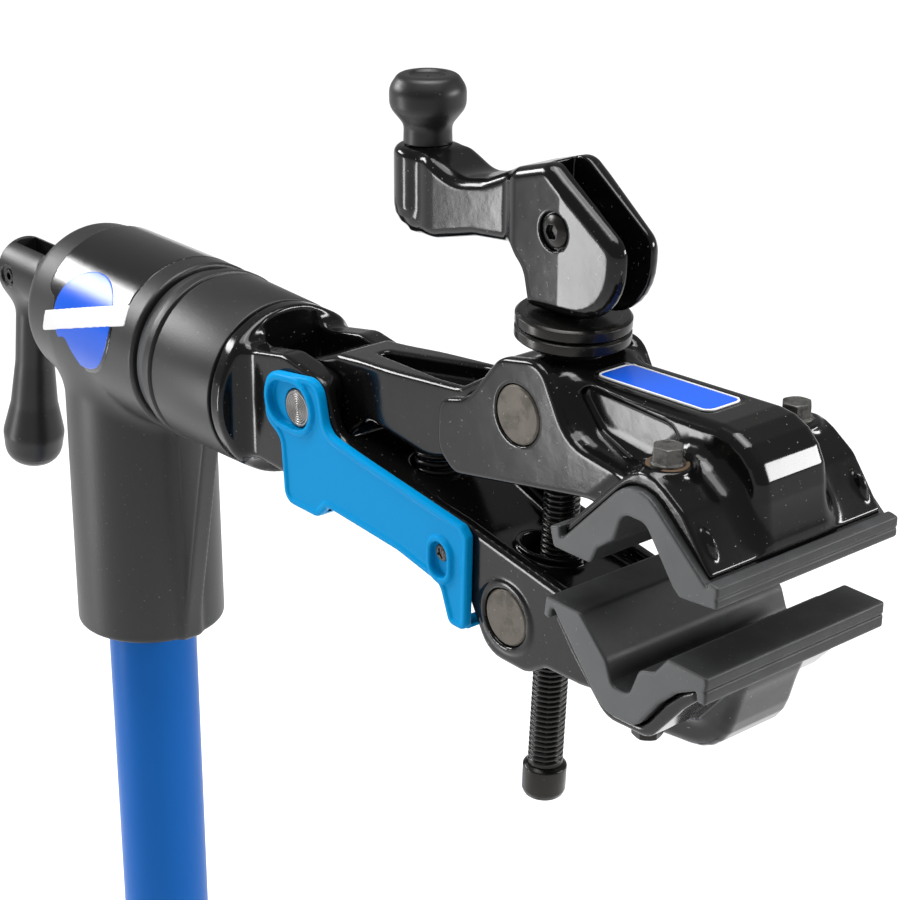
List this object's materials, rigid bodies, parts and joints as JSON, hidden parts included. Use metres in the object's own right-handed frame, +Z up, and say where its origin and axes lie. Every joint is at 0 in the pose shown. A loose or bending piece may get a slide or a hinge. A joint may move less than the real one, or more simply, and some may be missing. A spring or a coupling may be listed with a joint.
{
  "type": "bike repair stand",
  "caption": "Free-standing repair stand: telescoping column on a folding base, with a rotating cam-locked clamp whose padded jaws hold a round tube.",
  "frame": {"origin": "centre of the column foot's underside, on the floor", "axes": "+Z up the column, +X the way the clamp and the legs point, +Y to the left leg's side"},
  "size_m": [0.4998, 0.7112, 1.1356],
  "materials": {
    "painted_tube": "satin powder coat",
    "blue_plastic": "semi-gloss moulded",
    "blue_plate": "satin",
    "black_casting": "gloss black paint on a casting",
    "housing_plastic": "fine grained",
    "black_plastic": "satin",
    "rubber": "matt",
    "zinc_steel": "zinc plated",
    "pin_steel": "turned and scuffed",
    "black_steel": "black oxide",
    "bronze": "sintered bronze"
  },
  "bodies": {
    "base": {"column_foot": "rubber", "lower_tube": "painted_tube", "tube_bush": "black_plastic", "height_collar": "black_plastic", "collar_bolt": "zinc_steel", "leg_hub": "black_plastic", "hub_set_screw": "zinc_steel", "leg_pin_left": "zinc_steel", "leg_pin_right": "zinc_steel"},
    "collar_lever": {"collar_lever": "black_plastic", "collar_lever_pin": "zinc_steel"},
    "leg_left": {"leg_block_left": "black_plastic", "leg_tube_left": "painted_tube", "leg_foot_left": "rubber"},
    "leg_right": {"leg_block_right": "black_plastic", "leg_tube_right": "painted_tube", "leg_foot_right": "rubber"},
    "mast": {"upper_tube": "painted_tube", "mast_glide": "black_plastic", "head_housing": "housing_plastic", "front_bush": "bronze", "rear_bush": "bronze", "barrel_seal": "rubber"},
    "clamp": {"main_shaft": "zinc_steel", "shaft_bolt": "zinc_steel", "clamp_collar": "housing_plastic", "rear_washer": "zinc_steel", "clamp_body": "black_casting", "yoke_pin": "pin_steel", "side_cover": "blue_plastic", "cover_screw_near": "zinc_steel", "cover_screw_far": "zinc_steel", "lower_jaw_pad": "rubber", "lower_pad_bolt_near": "zinc_steel", "lower_pad_bolt_far": "zinc_steel", "lift_spring": "zinc_steel"},
    "rear_cam": {"rear_cam_lever": "black_plastic", "rear_cam_pin": "zinc_steel"},
    "upper_arm": {"upper_arm": "black_casting"},
    "upper_jaw": {"upper_jaw": "black_casting", "upper_trunnion": "pin_steel", "upper_jaw_pad": "rubber", "upper_pad_bolt_near": "zinc_steel", "upper_pad_bolt_far": "zinc_steel", "neck_bush": "black_steel", "thrust_washer_lower": "black_steel", "jaw_badge": "blue_plate"},
    "nut": {"barrel_nut": "pin_steel"},
    "washer": {"thrust_washer_upper": "black_steel"},
    "screw": {"clamp_screw": "black_steel", "screw_end_cap": "black_steel", "cam_pivot_screw": "zinc_steel"},
    "cam": {"cam_lever": "black_casting", "knob_stud": "zinc_steel"},
    "knob": {"knob": "black_plastic"}
  },
  "joints": [
    {"name": "height_slide", "type": "slide", "parent": "base", "child": "mast", "axis": [0, 0, 1], "range_m": [0, 0.3]},
    {"name": "collar_lever_hinge", "type": "hinge", "parent": "base", "child": "collar_lever", "pos_m": [-0.042, -0.0206, 0.575], "axis": [0, 0, -1], "range_deg": [0, 120]},
    {"name": "leg_left_swivel", "type": "hinge", "parent": "base", "child": "leg_left", "pos_m": [0.03864, 0.03479, 0.305], "axis": [0, 0, -1], "range_deg": [0, 40]},
    {"name": "leg_right_swivel", "type": "hinge", "parent": "base", "child": "leg_right", "pos_m": [0.03864, -0.03479, 0.305], "axis": [0, 0, 1], "range_deg": [0, 40]},
    {"name": "clamp_spin", "type": "hinge", "parent": "mast", "child": "clamp", "pos_m": [0, 0, 1], "axis": [1, 0, 0], "continuous": true},
    {"name": "rear_cam_hinge", "type": "hinge", "parent": "clamp", "child": "rear_cam", "pos_m": [-0.0826, 0, 1], "axis": [0, 1, 0], "range_deg": [0, 50]},
    {"name": "arm_hinge", "type": "hinge", "parent": "clamp", "child": "upper_arm", "pos_m": [0.1438, 0, 1.0088], "axis": [0, -1, 0], "range_deg": [-6, 14], "deforming": ["lift_spring"]},
    {"name": "jaw_hinge", "type": "hinge", "parent": "upper_arm", "child": "upper_jaw", "pos_m": [0.2603, 0, 1.0413], "axis": [0, -1, 0], "range_deg": [-7, 3.2]},
    {"name": "nut_hinge", "type": "hinge", "parent": "clamp", "child": "nut", "pos_m": [0.2567, 0, 0.968], "axis": [0, -1, 0], "range_deg": [-3.3, 7.4]},
    {"name": "screw_spin", "type": "hinge", "parent": "upper_jaw", "child": "washer", "pos_m": [0.2616, 0, 1.06767], "axis": [0.0491, 0, 0.9988], "continuous": true},
    {"name": "screw_slide", "type": "slide", "parent": "washer", "child": "screw", "axis": [0.0491, 0, 0.9988], "range_m": [-0.0008, 0]},
    {"name": "cam_hinge", "type": "hinge", "parent": "screw", "child": "cam", "pos_m": [0.26321, 0, 1.10063], "axis": [0, 1, 0], "range_deg": [0, 90]},
    {"name": "knob_spin", "type": "hinge", "parent": "cam", "child": "knob", "pos_m": [0.1887, 0, 1.1124], "axis": [0, 0, 1], "continuous": true}
  ],
  "couplings": [
    {"joint": "jaw_hinge", "follows": "arm_hinge", "ratio": -0.484},
    {"joint": "nut_hinge", "follows": "arm_hinge", "ratio": 0.516},
    {"joint": "screw_slide", "follows": "cam_hinge", "m_per_rad": -0.000509}
  ]
}
